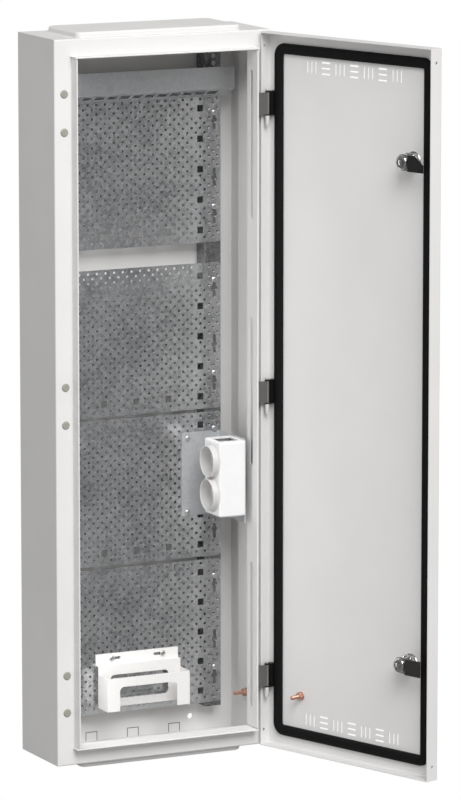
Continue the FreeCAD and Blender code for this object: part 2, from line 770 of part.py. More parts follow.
def device_holder():
    """A folded pocket: screwed flange, joggle, windowed back, cheeks, front yoke."""
    x = (HOLDER_X - HOLDER_W / 2, HOLDER_X + HOLDER_W / 2)
    t = HOLDER_SHEET
    back_y = PLATE_FACE_Y - HOLDER_JOGGLE
    bend_z = HOLDER_TOP_Z - HOLDER_FLANGE_H
    low_z = bend_z - HOLDER_BACK_H
    front_y = back_y - HOLDER_DEPTH
    front_top = bend_z - HOLDER_FRONT_DROP
    flange = block(x, (PLATE_FACE_Y - t, PLATE_FACE_Y), (bend_z, HOLDER_TOP_Z))
    step = block(x, (back_y - t, PLATE_FACE_Y), (bend_z, bend_z + t))
    back = block(x, (back_y - t, back_y), (low_z, bend_z + t))
    cheeks = []
    for edge in x:
        inner = edge + t if edge == x[0] else edge - t
        cheeks.append(block((edge, inner), (front_y, back_y), (low_z, front_top)))
    yoke = block(x, (front_y - t, front_y), (low_z, front_top))
    body = fuse([flange, step, back] + cheeks + [yoke])
    window_z = bend_z - HOLDER_WINDOW_DROP - HOLDER_WINDOW_H
    window_x = (HOLDER_X - HOLDER_WINDOW_W / 2, HOLDER_X + HOLDER_WINDOW_W / 2)
    window = rounded_plate(
        window_x,
        (back_y - t - 1, back_y + 1),
        (window_z, window_z + HOLDER_WINDOW_H),
        HOLDER_WINDOW_R,
    )
    gap_x = (x[0] + HOLDER_LEG_W, x[1] - HOLDER_LEG_W)
    gap_top = front_top - HOLDER_BAR_H
    gap = rounded_plate(
        gap_x,
        (front_y - t - 1, front_y + 0.5),
        (low_z - 2 * HOLDER_WINDOW_R, gap_top),
        HOLDER_WINDOW_R,
    )
    tools = [window, gap]
    for p in holder_screw_points():
        run = HOLDER_SLOT_LEN - SCREW_HOLE_R
        inward = -1 if p.x > HOLDER_X else 1
        mid = p.x + inward * (run / 2 - SCREW_HOLE_R / 2)
        start = p.y - 1
        tools.append(level_slot(mid, p.z, start, HOLDER_SLOT_LEN, 2 * SCREW_HOLE_R, t + 2, False))
    return cut(body, tools)


def holder_screw_points():
    """The two screws of the holder's flange."""
    z = HOLDER_TOP_Z - HOLDER_FLANGE_H / 2 + 1.0
    y = PLATE_FACE_Y - HOLDER_SHEET
    return [Vector(HOLDER_X + s * HOLDER_SCREW_X, y, z) for s in (-1, 1)]


def blanking_plug(point):
    """A push-in plug: thin domed head and a stem through the flange."""
    head = taper(PLUG_R * 0.75, PLUG_R, point - Y_AXIS * PLUG_HEAD_H, Y_AXIS, PLUG_HEAD_H)
    stem = rod(PLUG_STEM_R, point, Y_AXIS, PLUG_STEM_L)
    return fuse([head, stem])


def hex_nut(point, direction, across, height, bore):
    """A plain hexagon nut on an axis."""
    corner = across / math.sqrt(3)
    if abs(direction.x) > 0.5:
        side, up = Y_AXIS, Z_AXIS
    else:
        side, up = X_AXIS, Z_AXIS
    corners = []
    for i in range(6):
        a = math.radians(60 * i + 30)
        corners.append(point + side * (corner * math.cos(a)) + up * (corner * math.sin(a)))
    body = Part.Face(Part.makePolygon(corners + corners[:1])).extrude(direction * height)
    return body.cut(rod(bore, point - direction, direction, height + 2))


def earth_stud(point, direction):
    """A threaded stud welded to a sheet, with a washer and a nut."""
    stud = rod(STUD_R, point, direction, STUD_L)
    washer = rod(STUD_WASHER_R, point, direction, STUD_WASHER_T)
    nut = hex_nut(point + direction * STUD_WASHER_T, direction, STUD_NUT_AF, STUD_NUT_T, STUD_R)
    return fuse([stud, washer, nut])


def hinge_block(z):
    """The cabinet's half of a hinge: foot in the corner of flange and collar."""
    half = HINGE_BLOCK_H / 2
    height = (z - half, z + half)
    arm_back = HINGE_Y - HINGE_ARM_DROP
    arm_front = arm_back - HINGE_ARM_T
    foot = block((COLLAR_X, COLLAR_X + HINGE_FOOT_W), (-BOX_D, arm_front), height)
    heel = [e for e in upright_edges(foot, Z_AXIS) if e.BoundBox.XMax < COLLAR_X + 0.01]
    heel = [e for e in heel if e.BoundBox.YMin > -BOX_D - 0.01]
    foot = foot.makeChamfer(BEND_R + HINGE_FOOT_CHAMFER, heel)
    arm = block((COLLAR_X, HINGE_X), (arm_back, arm_front), height)
    axis_low = Vector(HINGE_X, HINGE_Y, z - half)
    barrel = rod(HINGE_BARREL_R, axis_low, Z_AXIS, HINGE_BLOCK_H)
    body = fuse([foot, arm, barrel])
    return cut(body, [rod(HINGE_BORE_R, axis_low - Z_AXIS, Z_AXIS, HINGE_BLOCK_H + 2)])


def hinge_fork(z):
    """The door's half of a hinge: a base on the door and two ears at the pin."""
    reach = HINGE_BLOCK_H / 2 + HINGE_EAR_GAP
    outer = reach + HINGE_EAR_T
    right = HINGE_X + HINGE_EAR_R
    left = right - HINGE_FORK_W
    base_y = (DOOR_INNER_Y, HINGE_Y - HINGE_FORK_CLEAR)
    base = block((left, right), base_y, (z - outer, z + outer))
    pieces = [base]
    for s in (-1, 1):
        low = z + (reach if s > 0 else -outer)
        pieces.append(block((HINGE_X - HINGE_EAR_R, right), (base_y[1], HINGE_Y), (low, low + HINGE_EAR_T)))
        pieces.append(rod(HINGE_EAR_R, Vector(HINGE_X, HINGE_Y, low), Z_AXIS, HINGE_EAR_T))
    body = fuse(pieces)
    start = Vector(HINGE_X, HINGE_Y, z - outer - 1)
    return cut(body, [rod(HINGE_BORE_R, start, Z_AXIS, 2 * outer + 2)])


def hinge_pin(z):
    """A headed pin through the block and both ears."""
    outer = HINGE_BLOCK_H / 2 + HINGE_EAR_GAP + HINGE_EAR_T + HINGE_EAR_GAP
    shank = rod(HINGE_PIN_R, Vector(HINGE_X, HINGE_Y, z - outer), Z_AXIS, 2 * outer)
    head = rod(HINGE_PIN_HEAD_R, Vector(HINGE_X, HINGE_Y, z + outer), Z_AXIS, HINGE_PIN_HEAD_H)
    return fuse([shank, head])


def hinge_pin_tip(z):
    """The tapered retaining cap on a pin's lower end."""
    outer = HINGE_BLOCK_H / 2 + HINGE_EAR_T + 2 * HINGE_EAR_GAP
    start = Vector(HINGE_X, HINGE_Y, z - outer)
    return taper(HINGE_TIP_R, HINGE_TIP_END_R, start, Z_AXIS * -1, HINGE_TIP_L)


def vent_cutters():
    """Seven groups of three slots, upright and level by turns, top and bottom."""
    tools = []
    start = DOOR_FACE_Y - 1
    depth = DOOR_SHEET + 2
    row = HALF_H - VENT_INSET
    for z_row in (row, -row):
        for g in range(VENT_GROUPS):
            x = (g - (VENT_GROUPS - 1) / 2) * VENT_GROUP_PITCH
            upright = g % 2 == 0
            for k in (-1, 0, 1):
                cx = x + k * VENT_PITCH if upright else x
                cz = z_row if upright else z_row + k * VENT_PITCH
                tools.append(level_slot(cx, cz, start, VENT_LEN, VENT_W, depth, upright))
    return tools


def door_panel():
    """The door as a folded pan: face sheet and four returns, with its cut-outs."""
    x = (-DOOR_HALF_W, DOOR_HALF_W)
    z = (-DOOR_HALF_H, DOOR_HALF_H)
    outer = block(x, (DOOR_FACE_Y, DOOR_RIM_Y), z)
    face_edges = [e for e in outer.Edges if e.BoundBox.YMax < DOOR_FACE_Y + 0.01]
    outer = outer.makeFillet(DOOR_BEND_R, face_edges)
    t = DOOR_SHEET
    inner_x = (x[0] + t, x[1] - t)
    inner_z = (z[0] + t, z[1] - t)
    inner = block(inner_x, (DOOR_INNER_Y, DOOR_RIM_Y + 1), inner_z)
    face_edges = [e for e in inner.Edges if e.BoundBox.YMax < DOOR_INNER_Y + 0.01]
    inner = inner.makeFillet(DOOR_BEND_R - t, face_edges)
    tools = [inner] + vent_cutters()
    step_y = (DOOR_FACE_Y + DOOR_HINGE_DEPTH, DOOR_RIM_Y + 1)
    tools.append(block((x[1] - t - 1, x[1] + 1), step_y, inner_z))
    slope = [
        Vector(x[1], step_y[0], z[0] - 1),
        Vector(x[1] + 1, step_y[0], z[0] - 1),
        Vector(x[1] + 1, step_y[1], z[0] - 1),
        Vector(x[1] - DOOR_HINGE_SLOPE, step_y[1], z[0] - 1),
        Vector(x[1] - DOOR_HINGE_SLOPE, DOOR_RIM_Y, z[0] - 1),
    ]
    corner = Part.Face(Part.makePolygon(slope + slope[:1]))
    tools.append(corner.extrude(Vector(0, 0, z[1] - z[0] + 2)))
    for s in (-1, 1):
        start = Vector(LOCK_X, DOOR_FACE_Y - 1, s * LOCK_Z)
        tools.append(rod(LOCK_BODY_R + 0.1, start, Y_AXIS, t + 2))
        hole_y = -(BOX_D + DOOR_HOLE_FORWARD)
        for edge in x:
            start = Vector(edge - t - 1, hole_y, s * (HALF_H - DOOR_HOLE_INSET))
            tools.append(rod(DOOR_HOLE_R, start, X_AXIS, 2 * t + 2))
    return cut(outer, tools)


def door_seal():
    """A flat foamed seal that the collar of the cabinet presses into."""
    half_x = COLLAR_X - COLLAR_T - SEAL_SIDE_INSET + SEAL_W
    half_z = HALF_H - FLANGE_END - COLLAR_T - SEAL_END_INSET + SEAL_W
    y = (DOOR_INNER_Y, COLLAR_FRONT_Y - SEAL_SQUEEZE_GAP)
    outer = rounded_plate((-half_x, half_x), y, (-half_z, half_z), SEAL_CORNER_R)
    inner_x = half_x - SEAL_W
    inner_z = half_z - SEAL_W
    return outer.cut(block((-inner_x, inner_x), (y[0] - 1, y[1] + 1), (-inner_z, inner_z)))


def lock_body(z):
    """A quarter-turn lock: head outside, collar nut inside, round barrel."""
    start = Vector(LOCK_X, DOOR_FACE_Y, z)
    head = rod(LOCK_HEAD_R, start, Y_AXIS * -1, LOCK_HEAD_T)
    barrel = rod(LOCK_BODY_R, start, Y_AXIS, LOCK_END_Y - DOOR_FACE_Y)
    collar = rod(LOCK_COLLAR_R, Vector(LOCK_X, DOOR_INNER_Y, z), Y_AXIS, LOCK_COLLAR_T)
    body = fuse([head, barrel, collar])
    key_start = start - Y_AXIS * (LOCK_HEAD_T + 1)
    recess = rod(LOCK_KEY_R, key_start, Y_AXIS, LOCK_KEY_DEPTH + 1)
    return cut(body, [recess])


def lock_cam(z, hooked):
    """A cranked cam: hub at the barrel, tongue behind the flange.

    The tongue of the hooked one slopes down to a tip with a notch before it.
    """
    hub_y = LOCK_END_Y + CAM_PLAY
    tongue_y = CAM_BACK_Y - CAM_T
    half = CAM_W / 2
    z_range = (z - half, z + half)
    crank_x = LOCK_X - CAM_CRANK_AT
    tip_x = LOCK_X - CAM_REACH
    hub_disc = rod(half, Vector(LOCK_X, hub_y, z), Y_AXIS, CAM_T)
    hub = block((crank_x - CAM_T, LOCK_X), (hub_y, hub_y + CAM_T), z_range)
    riser = block((crank_x - CAM_T, crank_x), (hub_y, CAM_BACK_Y), z_range)
    shoulder_x = crank_x - CAM_T - CAM_SHOULDER
    tip_top = z - half + CAM_TIP_H if hooked else z + half
    outline = [
        Vector(crank_x, tongue_y, z - half),
        Vector(crank_x, tongue_y, z + half),
        Vector(shoulder_x, tongue_y, z + half),
        Vector(tip_x, tongue_y, tip_top),
        Vector(tip_x, tongue_y, z - half),
    ]
    face = Part.Face(Part.makePolygon(outline + outline[:1]))
    tongue = face.extrude(Y_AXIS * CAM_T)
    cam = fuse([hub_disc, hub, riser, tongue])
    if hooked:
        notch_x = tip_x + CAM_NOTCH
        notch_z = (z - half - 1, z - half + CAM_NOTCH)
        notch = block((notch_x, notch_x + CAM_NOTCH / 2), (tongue_y - 1, CAM_BACK_Y + 1), notch_z)
        cam = cut(cam, [notch])
    return cam


def cam_nut(z):
    """The domed nut that holds a cam on its barrel."""
    start = Vector(LOCK_X, LOCK_END_Y + CAM_PLAY + CAM_T, z)
    skirt = CAM_NUT_H / 2
    base = rod(CAM_NUT_R, start, Y_AXIS, skirt)
    dome = taper(CAM_NUT_R, CAM_NUT_R * 0.7, start + Y_AXIS * skirt, Y_AXIS, CAM_NUT_H - skirt)
    return fuse([base, dome])


def opened(shape):
    """A door piece, turned about the hinge axis to the way the door stands."""
    turned = shape.copy()
    turned.rotate(Vector(HINGE_X, HINGE_Y, 0), Z_AXIS, DOOR_REST_OPEN_DEG)
    return turned


def build():
    """Every piece of the box, by name."""
    nodes = {}
    left, right, high, low = cabinet_walls()
    nodes["left_wall"] = left
    nodes["right_wall"] = right
    nodes["top_wall"] = high
    nodes["bottom_wall"] = low
    nodes["back_wall"] = back_wall()
    nodes["top_gland_cover"] = gland_cover(True)
    nodes["bottom_gland_cover"] = gland_cover(False)
    nodes["left_rail"] = rail(-1)
    nodes["right_rail"] = rail(1)
    for i, top in enumerate(plate_tops()):
        nodes["mounting_plate_%d" % (i + 1)] = mounting_plate(top)
    grip = PLATE_SHEET + RAIL_SHEET
    screws = [round_screw(p, Y_AXIS, grip) for p in plate_screw_points()]
    nodes["plate_screws"] = group(screws)
    nodes["cable_tray"] = cable_tray()
    grip = TRAY_SHEET + PLATE_SHEET + RAIL_SHEET
    nodes["tray_screws"] = group([round_screw(p, Y_AXIS, grip) for p in tray_screw_points()])
    nodes["socket_bracket"] = socket_bracket()
    grip = BRACKET_SHEET + PLATE_SHEET
    nodes["bracket_screws"] = group([round_screw(p, Y_AXIS, grip) for p in bracket_screw_points()])
    nodes["socket_housing"] = socket_housing()
    nodes["socket_cups"] = group([socket_cup(c) for c in cup_centres()])
    nodes["device_holder"] = device_holder()
    grip = HOLDER_SHEET + PLATE_SHEET
    nodes["holder_screws"] = group([round_screw(p, Y_AXIS, grip) for p in holder_screw_points()])
    nodes["blanking_plugs"] = group([blanking_plug(p) for p in plug_holes(-1)])
    nodes["cabinet_earth_stud"] = earth_stud(Vector(INNER_X, BODY_STUD_Y, BODY_STUD_Z), X_AXIS * -1)
    names = ("upper", "middle", "lower")
    for name, z in zip(names, HINGE_Z):
        nodes["%s_hinge_block" % name] = hinge_block(z)
        nodes["%s_hinge_fork" % name] = opened(hinge_fork(z))
    nodes["hinge_pins"] = group([hinge_pin(z) for z in HINGE_Z])
    nodes["hinge_pin_tips"] = group([hinge_pin_tip(z) for z in HINGE_Z])
    nodes["door_panel"] = opened(door_panel())
    nodes["door_seal"] = opened(door_seal())
    door_stud = earth_stud(Vector(DOOR_STUD_X, DOOR_INNER_Y, DOOR_STUD_Z), Y_AXIS)
    nodes["door_earth_stud"] = opened(door_stud)
    nodes["upper_lock_body"] = opened(lock_body(LOCK_Z))
    nodes["lower_lock_body"] = opened(lock_body(-LOCK_Z))
    nodes["upper_lock_cam"] = opened(lock_cam(LOCK_Z, True))
    nodes["lower_lock_cam"] = opened(lock_cam(-LOCK_Z, False))
    nodes["upper_cam_nut"] = opened(cam_nut(LOCK_Z))
    nodes["lower_cam_nut"] = opened(cam_nut(-LOCK_Z))
    return nodes


def main():
    os.makedirs("parts", exist_ok=True)
    for name, shape in build().items():
        shape.exportStep("parts/%s.step" % name)
        box = shape.BoundBox
        sizes = "%.1f x %.1f x %.1f" % (box.XLength, box.YLength, box.ZLength)
        print(name, len(shape.Solids), "solids", sizes, "valid", shape.isValid())


main()
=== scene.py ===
import math
import bpy
import numpy as np
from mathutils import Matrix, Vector
from mathutils.geometry import delaunay_2d_cdt


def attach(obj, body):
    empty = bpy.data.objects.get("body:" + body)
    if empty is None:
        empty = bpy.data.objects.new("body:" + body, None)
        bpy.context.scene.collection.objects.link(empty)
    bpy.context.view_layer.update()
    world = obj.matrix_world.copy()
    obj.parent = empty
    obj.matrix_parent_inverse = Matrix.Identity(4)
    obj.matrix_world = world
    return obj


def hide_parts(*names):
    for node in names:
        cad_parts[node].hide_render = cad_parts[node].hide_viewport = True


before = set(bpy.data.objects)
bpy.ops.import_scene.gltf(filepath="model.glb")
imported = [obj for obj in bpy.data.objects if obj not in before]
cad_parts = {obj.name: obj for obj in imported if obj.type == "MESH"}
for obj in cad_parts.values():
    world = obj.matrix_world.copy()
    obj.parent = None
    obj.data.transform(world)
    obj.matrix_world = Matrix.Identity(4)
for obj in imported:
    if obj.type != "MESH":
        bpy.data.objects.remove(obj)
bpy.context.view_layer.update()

# %% [markdown]
# # A distribution box for home network gear
# The box is folded from sheet steel and painted, and galvanised plates hold
# the devices inside. Its solids are ready. This lesson adds what a drawing
# leaves out: hundreds of small holes, threads, recesses, foam and finishes.
# Lengths are written in millimetres, as on a workshop drawing, and turned
# into metres at the last moment.

# %% The box as it comes
MM = 0.001

# %% [markdown]
# ## Grids of points
# Most small parts are a sheet of points with two ways to walk over it, such
# as round an axis and along it. The sheet is worked out in one go as a whole
# array, and neighbouring points are then joined by four-sided faces.


# %% From points to pieces
def grid_faces(rows, cols, wrap):
    """Quads of a rows by cols grid; wrap joins the last column to the first."""
    r, c = np.meshgrid(np.arange(rows - 1), np.arange(cols if wrap else cols - 1), indexing="ij")
    after = (c + 1) % cols
    row, above = r * cols, (r + 1) * cols
    quads = np.stack([row + c, row + after, above + after, above + c], axis=-1)
    return quads.reshape(-1, 4)


def closed_grid(points):
    """Points and faces of a tube of rings, each end closed by a fan to its middle."""
    rows, cols = points.shape[:2]
    faces = grid_faces(rows, cols, True).tolist()
    flat = points.reshape(-1, 3)
    ends = np.array([points[0].mean(axis=0), points[-1].mean(axis=0)])
    first, last = rows * cols, rows * cols + 1
    base = (rows - 1) * cols
    for i in range(cols):
        j = (i + 1) % cols
        faces.append([first, j, i])
        faces.append([last, base + i, base + j])
    return np.vstack([flat, ends]), faces


def join(parts):
    """Several (points, faces) pairs as one pair."""
    points, faces, start = [], [], 0
    for some_points, some_faces in parts:
        points.append(some_points)
        faces += [[start + i for i in face] for face in some_faces]
        start += len(some_points)
    return np.vstack(points), faces


def make_piece(name, points, faces, material, body, slot, node, crease=35.0):
    """A shaded object from points in millimetres; it rides on a body for a node."""
    mesh = bpy.data.meshes.new(name)
    mesh.from_pydata((points * MM).tolist(), [], [list(face) for face in faces])
    mesh.shade_smooth()
    mesh.set_sharp_from_angle(angle=math.radians(crease))
    mesh.materials.append(material)
    piece = bpy.data.objects.new(name, mesh)
    bpy.context.collection.objects.link(piece)
    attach(piece, body)
    if node:
        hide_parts(node)
    print(name, len(mesh.polygons), "faces")
    return piece


# %% [markdown]
# ## Turned parts
# A lathe makes screws, pins and nuts from one outline that spins round an
# axis. A second rule may push the radius or height in and out as the angle
# changes, which gives hexagons, threads and cross recesses.


# %% Turning and placing
def turned(profile, sides, change=None):
    """Rings at (r cos a, r sin a, h) for each (r, h) of the profile.

    The change rule may alter r and h; it gets both as arrays, with the angle a.
    """
    a = np.linspace(0, 2 * math.pi, sides, endpoint=False)
    r = np.array(profile, float)[:, 0][:, None] + 0 * a
    h = np.array(profile, float)[:, 1][:, None] + 0 * a
    if change is not None:
        r, h = change(r, h, a + 0 * r)
    return np.stack([r * np.cos(a), r * np.sin(a), h], axis=-1)


def stand(points, origin, axis):
    """Turn local +Z into the axis and move the local origin to a point."""
    z = np.array(axis, float)
    side = np.array([0.0, 0.0, 1.0]) if abs(z[2]) < 0.9 else np.array([1.0, 0.0, 0.0])
    x = np.cross(side, z)
    x = x / np.linalg.norm(x)
    y = np.cross(z, x)
    return points @ np.array([x, y, z]) + np.array(origin, float)


HINGE = (152.0, -130.6)
DOOR_OPEN = math.radians(109.1)


def swung(points):
    """Door points, turned about the hinge line from shut to the way it stands."""
    dx = points[..., 0] - HINGE[0]
    dy = points[..., 1] - HINGE[1]
    x = HINGE[0] + dx * math.cos(DOOR_OPEN) - dy * math.sin(DOOR_OPEN)
    y = HINGE[1] + dx * math.sin(DOOR_OPEN) + dy * math.cos(DOOR_OPEN)
    return np.stack([x, y, points[..., 2]], axis=-1)


# %% [markdown]
# ## Small tools for materials
# A finish is a chain of nodes: a pattern in object space, a ramp that turns
# it into colours or roughness, and a bump that catches the light.


# %% Node helpers
def start_material(name):
    """A new material and its node tree, with the shader ready to be set."""
    material = bpy.data.materials.new(name)
    material.use_nodes = True
    tree = material.node_tree
    shader = tree.nodes["Principled BSDF"]
    place = tree.nodes.new("ShaderNodeTexCoord").outputs["Object"]
    return material, tree, shader, place


def noise(tree, place, scale, detail=2.0, roughness=0.5):
    """Cloudy pattern from 0 to 1; scale is in patches per metre."""
    node = tree.nodes.new("ShaderNodeTexNoise")
    node.inputs["Scale"].default_value = scale
    node.inputs["Detail"].default_value = detail
    node.inputs["Roughness"].default_value = roughness
    tree.links.new(place, node.inputs["Vector"])
    return node.outputs["Fac"]


def ramp(tree, value, stops):
    """Turn a value into a colour by (position, colour) stops."""
    node = tree.nodes.new("ShaderNodeValToRGB")
    elements = node.color_ramp.elements
    while len(elements) < len(stops):
        elements.new(0.5)
    for element, (spot, colour) in zip(elements, stops):
        element.position = spot
        element.color = (*colour, 1.0)
    tree.links.new(value, node.inputs["Fac"])
    return node.outputs["Color"]


def reckon(tree, operation, first, second):
    """A sum on one or two values; each is a plain number or a node's output."""
    node = tree.nodes.new("ShaderNodeMath")
    node.operation = operation
    if operation == "WRAP":
        node.inputs[2].default_value = -second
    for socket, value in zip(node.inputs, (first, second)):
        if isinstance(value, (int, float)):
            socket.default_value = value
        else:
            tree.links.new(value, socket)
    return node.outputs["Value"]


def blend_colours(tree, share, first, second, kind="MIX"):
    """Mix two colours by a share; each is a plain colour or a node's output."""
    node = tree.nodes.new("ShaderNodeMix")
    node.data_type = "RGBA"
    node.blend_type = kind
    for key, value in (("Factor", share), ("A", first), ("B", second)):
        socket = node.inputs[key]
        if isinstance(value, (int, float)):
            socket.default_value = value
        elif isinstance(value, tuple):
            socket.default_value = (*value, 1.0)
        else:
            tree.links.new(value, socket)
    return [out for out in node.outputs if out.type == "RGBA"][0]


def bump(tree, shader, height, depth, strength=1.0):
    """Press a height pattern into the surface; depth is in metres."""
    node = tree.nodes.new("ShaderNodeBump")
    node.inputs["Strength"].default_value = strength
    node.inputs["Distance"].default_value = depth
    tree.links.new(height, node.inputs["Height"])
    tree.links.new(node.outputs["Normal"], shader.inputs["Normal"])


def grey(v, warm=0.0):
    """A grey, a little warmer with a positive second value."""
    return (v * (1 + warm), v, v * (1 - warm))


def dress(material, *names):
    """Give each named solid one material."""
    for name in names:
        solid = bpy.data.objects[name]
        if len(solid.material_slots) == 0:
            solid.data.materials.append(material)
        for slot in solid.material_slots:
            slot.material = material


# %% [markdown]
# ## Powder coat
# The shell is sprayed with dry powder and baked. The skin is never flat: it
# has a fine orange-peel ripple about a millimetre across, and its gloss
# drifts a little from place to place.


# %% Powder coat
def powder_coat(name, level, warm):
    """Satin paint of one lightness with a slow drift and a fine ripple."""
    material, tree, shader, place = start_material(name)
    tone = noise(tree, place, 9.0, 3.0)
    low, high = grey(level * 0.98, warm), grey(level * 1.02, warm)
    tree.links.new(ramp(tree, tone, [(0.3, low), (0.7, high)]), shader.inputs["Base Color"])
    gloss = ramp(tree, noise(tree, place, 30.0, 2.0), [(0.3, grey(0.40)), (0.7, grey(0.48))])
    tree.links.new(gloss, shader.inputs["Roughness"])
    shader.inputs["Specular IOR Level"].default_value = 0.35
    bump(tree, shader, noise(tree, place, 700.0, 2.0), 0.00004, 0.25)
    return material


paint = powder_coat("powder_coat", 0.76, 0.012)
holder_paint = powder_coat("holder_coat", 0.80, 0.015)
dress(paint, "left_wall", "right_wall", "top_wall", "bottom_wall")
dress(paint, "top_gland_cover", "bottom_gland_cover", "door_panel")
dress(holder_paint, "device_holder")

# %% [markdown]
# Three small tabs are cut half through the foot of the back wall, so that an
# installer can bend them up as cable anchors. Their outlines repeat every
# 64 mm: a wrapped distance gives one shape for all three.


# %% Tabs in the back wall
TAB_MIDDLE, TAB_PITCH, TAB_HALF, TAB_TOP = 0.007, 0.064, 0.0085, -0.4868
CUT_HALF, TABS_HALF = 0.0006, 0.080


def tab_outlines(tree, place):
    """1 on a line 0.6 mm to each side of a tab's edge, else 0."""
    parts = tree.nodes.new("ShaderNodeSeparateXYZ")
    tree.links.new(place, parts.inputs["Vector"])
    x = reckon(tree, "SUBTRACT", parts.outputs["X"], TAB_MIDDLE)
    folded = reckon(tree, "ABSOLUTE", reckon(tree, "WRAP", x, TAB_PITCH / 2), 0.0)
    side = reckon(tree, "SUBTRACT", folded, TAB_HALF)
    high = reckon(tree, "ADD", parts.outputs["Z"], -TAB_TOP)
    edge = reckon(tree, "ABSOLUTE", reckon(tree, "MAXIMUM", side, high), 0.0)
    line = reckon(tree, "LESS_THAN", edge, CUT_HALF)
    near = reckon(tree, "LESS_THAN", reckon(tree, "ABSOLUTE", x, 0.0), TABS_HALF)
    return reckon(tree, "MULTIPLY", line, near)


back_paint = powder_coat("back_coat", 0.76, 0.012)
tree = back_paint.node_tree
shader = tree.nodes["Principled BSDF"]
coat = shader.inputs["Base Color"].links[0].from_socket
place = [node for node in tree.nodes if node.type == "TEX_COORD"][0].outputs["Object"]
lines = tab_outlines(tree, place)
tree.links.new(blend_colours(tree, lines, coat, grey(0.16)), shader.inputs["Base Color"])
dress(back_paint, "back_wall")

# %% [markdown]
# ## Galvanised sheet
# Hot zinc freezes into crystals, the spangle. Each crystal has its own
# brightness, so the pattern is a field of small cells, 260 to the metre.
# Handling and storage leave slow cloudy patches over it.


# %% Galvanised sheet
SPANGLE = 260.0


def galvanised(name, dark, light, metallic, rough):
    """Spangled zinc between two lightnesses, with a least roughness."""
    material, tree, shader, place = start_material(name)
    cells = tree.nodes.new("ShaderNodeTexVoronoi")
    cells.inputs["Scale"].default_value = SPANGLE
    tree.links.new(place, cells.inputs["Vector"])
    spangle = reckon(tree, "MULTIPLY", cells.outputs["Color"], 0.45)
    clouds = reckon(tree, "MULTIPLY", noise(tree, place, 16.0, 4.0, 0.6), 0.9)
    tone = reckon(tree, "ADD", spangle, clouds)
    middle = grey((dark + light) / 2, -0.02)
    colour = ramp(tree, tone, [(0.38, grey(dark, -0.03)), (0.62, middle), (0.92, grey(light, -0.015))])
    tree.links.new(colour, shader.inputs["Base Color"])
    gloss = ramp(tree, cells.outputs["Color"], [(0.0, grey(rough)), (1.0, grey(rough + 0.12))])
    tree.links.new(gloss, shader.inputs["Roughness"])
    shader.inputs["Metallic"].default_value = metallic
    bump(tree, shader, noise(tree, place, 900.0, 2.0), 0.00002, 0.3)
    return material


# The rails get a much darker zinc than the plates: painted shade for the rails standing behind the
# plates.
shaded_rail_zinc = galvanised("shaded_rail_zinc", 0.20, 0.28, 0.85, 0.22)
tray_zinc = galvanised("tray_zinc", 0.48, 0.56, 0.85, 0.28)
soft_zinc = galvanised("soft_zinc", 0.54, 0.64, 0.6, 0.35)
dress(shaded_rail_zinc, "left_rail", "right_rail")
dress(tray_zinc, "cable_tray")
dress(soft_zinc, "socket_bracket")

# %% [markdown]
# ## Smaller finishes
# Plastics, castings, chrome and copper share one recipe with other numbers:
# a colour with a soft spread, a roughness and a fine bump.


# %% Smaller finishes
def plain_finish(name, colour, spread, roughness, metallic, scale, depth):
    """One colour with a soft spread, a roughness and a fine bump."""
    material, tree, shader, place = start_material(name)
    low = tuple(v * (1 - spread) for v in colour)
    high = tuple(min(1.0, v * (1 + spread)) for v in colour)
    tone = noise(tree, place, scale / 6, 3.0)
    tree.links.new(ramp(tree, tone, [(0.3, low), (0.7, high)]), shader.inputs["Base Color"])
    shader.inputs["Roughness"].default_value = roughness
    shader.inputs["Metallic"].default_value = metallic
    bump(tree, shader, noise(tree, place, scale, 2.0), depth, 0.5)
    return material


bright_zinc = plain_finish("bright_zinc", grey(0.62), 0.06, 0.28, 0.9, 900.0, 0.00002)
black = plain_finish("black_coat", grey(0.010), 0.1, 0.4, 0.0, 900.0, 0.00005)
chrome = plain_finish("chrome", grey(0.60, 0.01), 0.04, 0.10, 1.0, 500.0, 0.00001)
copper = plain_finish("copper", (0.62, 0.36, 0.28), 0.08, 0.35, 0.7, 800.0, 0.00002)
foam = plain_finish("foam_seal", grey(0.004), 0.15, 0.7, 0.0, 1500.0, 0.00008)
foam_shader = foam.node_tree.nodes["Principled BSDF"]
foam_shader.inputs["Specular IOR Level"].default_value = 0.2
white_plastic = plain_finish("white_plastic", grey(0.86), 0.01, 0.35, 0.0, 600.0, 0.00002)
cup_plastic = plain_finish("cup_plastic", grey(0.62, 0.015), 0.01, 0.4, 0.0, 600.0, 0.00002)
tip_plastic = plain_finish("tip_plastic", grey(0.66), 0.02, 0.4, 0.0, 600.0, 0.00002)
plug_plastic = plain_finish("plug_plastic", (0.33, 0.325, 0.28), 0.03, 0.5, 0.0, 600.0, 0.00003)
dress(black, "upper_hinge_fork", "middle_hinge_fork", "lower_hinge_fork")
dress(white_plastic, "socket_housing", "socket_cups")
dress(plug_plastic, "blanking_plugs")

# %% [markdown]
# ## Painted highlights and shade round an axis
# One solid may carry two tones: a hinge's barrel is painted brighter than its
# block as a painted highlight, and a cam's hub is painted bright as a painted
# highlight while its tongue is painted black as painted shade. The distance
# from the hinge axis, or from the spindle, is worked out in object space and
# switches between them.


# %% Painted highlight and shade round an axis
def offset_from(tree, place, point):
    """Object coordinates less a point in metres."""
    offset = tree.nodes.new("ShaderNodeVectorMath")
    offset.operation = "SUBTRACT"
    offset.inputs[1].default_value = point
    tree.links.new(place, offset.inputs[0])
    return offset.outputs["Vector"]


def distance_from(tree, place, point, drop):
    """Distance in metres from a line through a point, along axis 0, 1 or 2 of the object."""
    parts = tree.nodes.new("ShaderNodeSeparateXYZ")
    tree.links.new(offset_from(tree, place, point), parts.inputs["Vector"])
    kept = [out for i, out in enumerate(parts.outputs) if i != drop]
    squares = [reckon(tree, "MULTIPLY", out, out) for out in kept]
    return reckon(tree, "SQRT", reckon(tree, "ADD", squares[0], squares[1]), 0.0)


